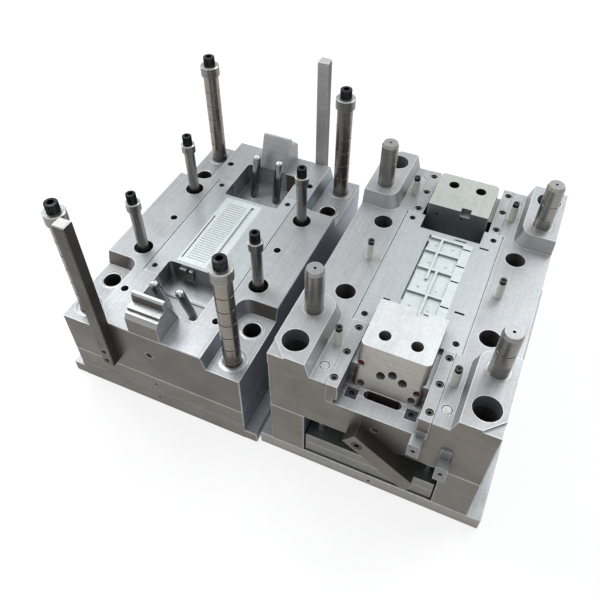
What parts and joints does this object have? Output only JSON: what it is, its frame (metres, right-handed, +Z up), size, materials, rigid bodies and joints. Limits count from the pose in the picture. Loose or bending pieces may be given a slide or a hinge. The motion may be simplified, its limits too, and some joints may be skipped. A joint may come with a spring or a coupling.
{
  "type": "three-plate mould",
  "caption": "Opened steel mould: two plate stacks side by side with guide pillars, long support pins, sliders, wedge blocks and a latch bar.",
  "frame": {"origin": "bottom centre of the whole object's bounding box", "axes": "+X to the right along both front edges, +Y to the back, +Z up; both parting faces look up"},
  "size_m": [0.789, 0.586, 0.43],
  "materials": {
    "plate_steel": "ground",
    "insert_steel": "polished",
    "pin_steel": "ground, oiled",
    "black_screw": "black oxide",
    "bar_steel": "milled",
    "puller_resin": "matt",
    "copper_plug": "dull"
  },
  "bodies": {
    "moving_half": {"b_clamp_plate": "plate_steel", "b_riser_left": "plate_steel", "b_riser_right": "plate_steel", "rest_buttons": "plate_steel", "b_plate": "plate_steel", "b_insert_frame": "insert_steel", "b_core": "insert_steel", "insert_screws_b": "black_screw", "guide_pillars": "pin_steel", "puller_sleeves": "puller_resin", "puller_screws": "black_screw", "gib_front_left": "insert_steel", "gib_front_right": "insert_steel", "gib_back_left": "insert_steel", "gib_back_right": "insert_steel", "gib_screws": "black_screw", "detent_blocks": "insert_steel", "latch_pivot_bolt": "black_screw", "stop_block_upper": "insert_steel", "stop_block_lower": "insert_steel", "front_block_screws": "black_screw"},
    "ejector_set": {"ejector_base_plate": "plate_steel", "ejector_retainer_plate": "plate_steel", "return_pins": "insert_steel", "ejector_pins": "insert_steel"},
    "front_slider": {"slider_front": "insert_steel", "slider_plugs_front": "copper_plug"},
    "back_slider": {"slider_back": "insert_steel", "slider_plugs_back": "copper_plug"},
    "latch": {"latch_bar": "bar_steel"},
    "fixed_base": {"a_clamp_plate": "plate_steel", "support_pins": "pin_steel", "support_collars": "pin_steel", "support_screws": "black_screw", "limit_bolts": "pin_steel", "limit_collars": "pin_steel", "limit_screws": "black_screw"},
    "runner_stripper": {"runner_stripper_plate": "plate_steel", "stripper_limit_screws": "black_screw"},
    "cavity_set": {"a_plate": "plate_steel", "a_insert_frame": "insert_steel", "a_core": "insert_steel", "insert_screws_a": "black_screw", "support_bushings": "pin_steel", "guide_bushings": "pin_steel", "angle_pins_front": "insert_steel", "angle_pins_back": "insert_steel", "wedge_front": "insert_steel", "wedge_back": "insert_steel", "pocket_key": "insert_steel", "pull_bar_front": "bar_steel", "pull_bar_back": "bar_steel", "pull_bar_screws": "black_screw"}
  },
  "joints": [
    {"name": "halves_apart", "type": "slide", "parent": "moving_half", "child": "fixed_base", "axis": [-1, 0, 0], "range_m": [0, 0.2]},
    {"name": "stripper_stroke", "type": "slide", "parent": "fixed_base", "child": "runner_stripper", "axis": [0, 0, 1], "range_m": [0, 0.01]},
    {"name": "cavity_stroke", "type": "slide", "parent": "runner_stripper", "child": "cavity_set", "axis": [0, 0, 1], "range_m": [0, 0.15]},
    {"name": "ejector_stroke", "type": "slide", "parent": "moving_half", "child": "ejector_set", "axis": [0, 0, 1], "range_m": [0, 0.05]},
    {"name": "front_slider_out", "type": "slide", "parent": "moving_half", "child": "front_slider", "axis": [0, -1, 0], "range_m": [0, 0.038]},
    {"name": "back_slider_in", "type": "slide", "parent": "moving_half", "child": "back_slider", "axis": [0, -1, 0], "range_m": [0, 0.038]},
    {"name": "latch_swing", "type": "hinge", "parent": "moving_half", "child": "latch", "pos_m": [0.1835, -0.28, 0.16], "axis": [0, 1, 0], "range_deg": [-14, 53.5]}
  ]
}
